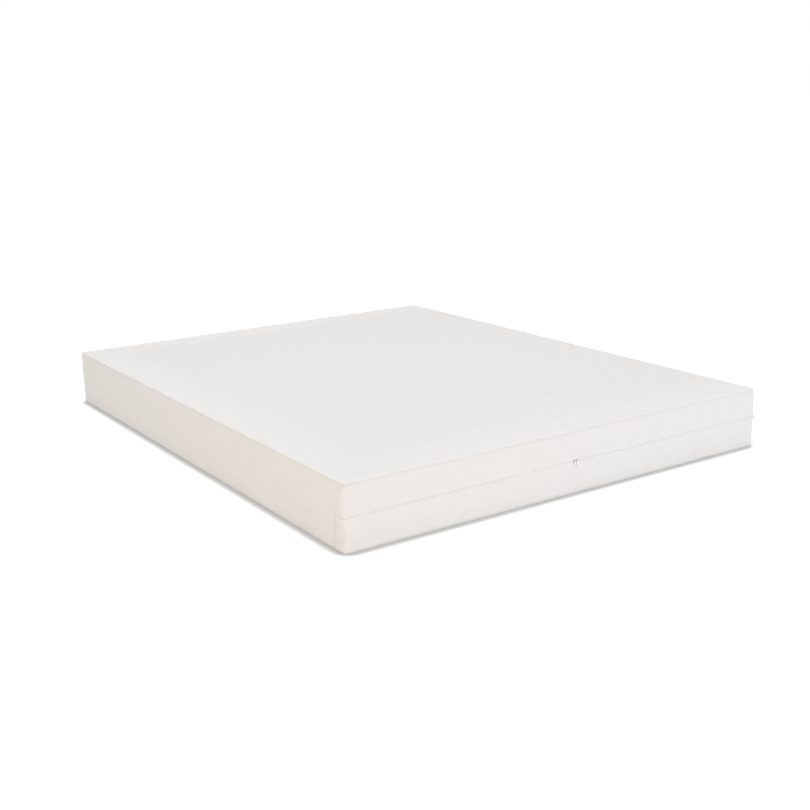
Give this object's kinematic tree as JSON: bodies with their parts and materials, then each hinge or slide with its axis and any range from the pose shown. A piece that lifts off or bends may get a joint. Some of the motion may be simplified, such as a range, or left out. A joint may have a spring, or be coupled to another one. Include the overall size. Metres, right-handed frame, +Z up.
{
  "type": "memory foam mattress",
  "caption": "Double-bed memory foam mattress of glued foam layers in a stockinette sleeve, inside a plain knitted cover that zips open along its foot end.",
  "frame": {"origin": "middle of the underside, on the surface that the mattress rests on", "axes": "+X across the bed to the right seen from the foot end, +Y along the bed from the zipped foot end to the head end, +Z up through the thickness"},
  "size_m": [1.6, 2.005, 0.2],
  "materials": {
    "knitted_cover_cloth": "smooth ivory double-jersey knit, matt",
    "underside_cloth": "plain ivory knit, matt, a little coarser",
    "stockinette": "thin ribbed white stockinette",
    "memory_foam": "slow-recovery polyurethane foam, fine open cells, cream",
    "comfort_foam": "soft polyurethane foam, open cells, white",
    "support_foam": "firm polyurethane foam, open cells, pale grey",
    "woven_zip_tape": "woven polyester tape, cream",
    "nylon_zip_coil": "moulded nylon coil, cream",
    "cast_zinc": "die-cast zinc, dull nickel plate",
    "satin_nickel": "die-cast zinc, satin nickel plate"
  },
  "bodies": {
    "mattress": {"support_foam_core": "support_foam", "transition_foam_layer": "comfort_foam", "memory_foam_layer": "memory_foam", "inner_sleeve": "stockinette", "top_panel": "knitted_cover_cloth", "bottom_panel": "underside_cloth", "left_border": "knitted_cover_cloth", "right_border": "knitted_cover_cloth", "head_border": "knitted_cover_cloth", "zip_border_upper": "knitted_cover_cloth", "zip_border_lower": "knitted_cover_cloth", "zip_tape_upper": "woven_zip_tape", "zip_tape_lower": "woven_zip_tape", "zip_coil_upper": "nylon_zip_coil", "zip_coil_lower": "nylon_zip_coil", "zip_stop_left": "cast_zinc", "zip_stop_right": "cast_zinc"},
    "slider_left": {"zip_slider_left": "cast_zinc"},
    "slider_right": {"zip_slider_right": "cast_zinc"},
    "pull_left": {"zip_pull_left": "satin_nickel"},
    "pull_right": {"zip_pull_right": "satin_nickel"}
  },
  "joints": [
    {"name": "slider_left_travel", "type": "slide", "parent": "mattress", "child": "slider_left", "axis": [-1, 0, 0], "range_m": [0, 0.766]},
    {"name": "slider_right_travel", "type": "slide", "parent": "mattress", "child": "slider_right", "axis": [1, 0, 0], "range_m": [0, 0.746]},
    {"name": "pull_left_swing", "type": "hinge", "parent": "slider_left", "child": "pull_left", "pos_m": [0.0052, -1.003, 0.104], "axis": [-1, 0, 0], "range_deg": [0, 175]},
    {"name": "pull_right_swing", "type": "hinge", "parent": "slider_right", "child": "pull_right", "pos_m": [0.0148, -1.003, 0.104], "axis": [-1, 0, 0], "range_deg": [0, 175]}
  ]
}
